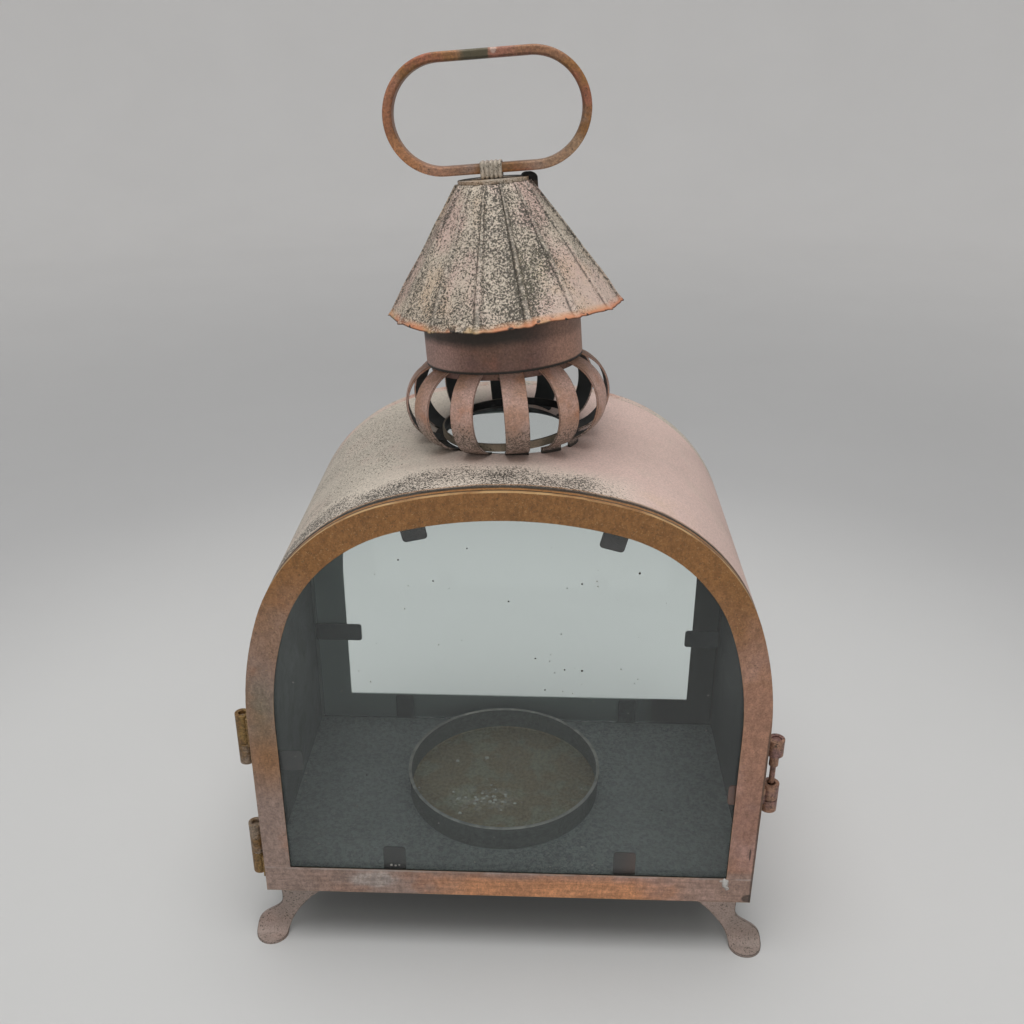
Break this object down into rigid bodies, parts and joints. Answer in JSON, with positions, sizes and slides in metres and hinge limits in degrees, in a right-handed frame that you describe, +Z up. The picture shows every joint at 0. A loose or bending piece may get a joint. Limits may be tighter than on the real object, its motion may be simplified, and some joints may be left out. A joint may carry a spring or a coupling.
{
  "type": "candle lantern",
  "caption": "Arched sheet-metal candle lantern with a hinged glass door, a pin latch, a glazed back, a bulged strip chimney, a fluted roof and a loop handle.",
  "frame": {"origin": "on the ground under the middle of the case, between the four feet", "axes": "+X to the right of somebody facing the door, +Y from the door to the back, +Z up"},
  "size_m": [0.2188, 0.1294, 0.356],
  "materials": {
    "patina_pink": "worn matte patina paint",
    "patina_grey": "speckled matte patina paint",
    "copper_brown": "rubbed copper paint",
    "worn_brass": "worn brown patina",
    "dark_inside": "dark grey primer",
    "clear_glass": "clear, dusty"
  },
  "bodies": {
    "case": {"body_shell": "patina_pink", "floor_plate": "dark_inside", "back_frame": "dark_inside", "back_glass": "clear_glass", "back_glass_tabs": "dark_inside", "candle_cup": "dark_inside", "cage_bottom_ring": "patina_pink", "cage_top_band": "patina_pink", "cage_strip_01": "patina_pink", "cage_strip_02": "patina_pink", "cage_strip_03": "patina_pink", "cage_strip_04": "patina_pink", "cage_strip_05": "patina_pink", "cage_strip_06": "patina_pink", "cage_strip_07": "patina_pink", "cage_strip_08": "patina_pink", "cage_strip_09": "patina_pink", "cage_strip_10": "patina_pink", "cage_strip_11": "patina_pink", "cage_strip_12": "patina_pink", "chimney_collar": "patina_pink", "roof_cone": "patina_grey", "roof_top_plate": "patina_grey", "roof_lug": "copper_brown", "handle": "copper_brown", "handle_staple": "patina_grey", "foot_front_left": "patina_pink", "foot_front_right": "patina_pink", "foot_back_left": "patina_pink", "foot_back_right": "patina_pink", "hinge_upper_case_leaf": "worn_brass", "hinge_upper_pin": "worn_brass", "hinge_lower_case_leaf": "worn_brass", "hinge_lower_pin": "worn_brass", "latch_upper_loop": "worn_brass", "latch_lower_loop": "worn_brass"},
    "door": {"door_frame": "copper_brown", "door_glass": "clear_glass", "door_glass_tabs": "dark_inside", "hinge_upper_door_leaf": "worn_brass", "hinge_lower_door_leaf": "worn_brass", "latch_door_loop": "worn_brass"},
    "latch_pin": {"latch_pin": "worn_brass"}
  },
  "joints": [
    {"name": "door_swing", "type": "hinge", "parent": "case", "child": "door", "pos_m": [-0.10475, -0.0572, 0.08], "axis": [0, 0, -1], "range_deg": [0, 180]},
    {"name": "latch_slide", "type": "slide", "parent": "case", "child": "latch_pin", "axis": [0, 0, 1], "range_m": [-0.0048, 0.008]}
  ]
}
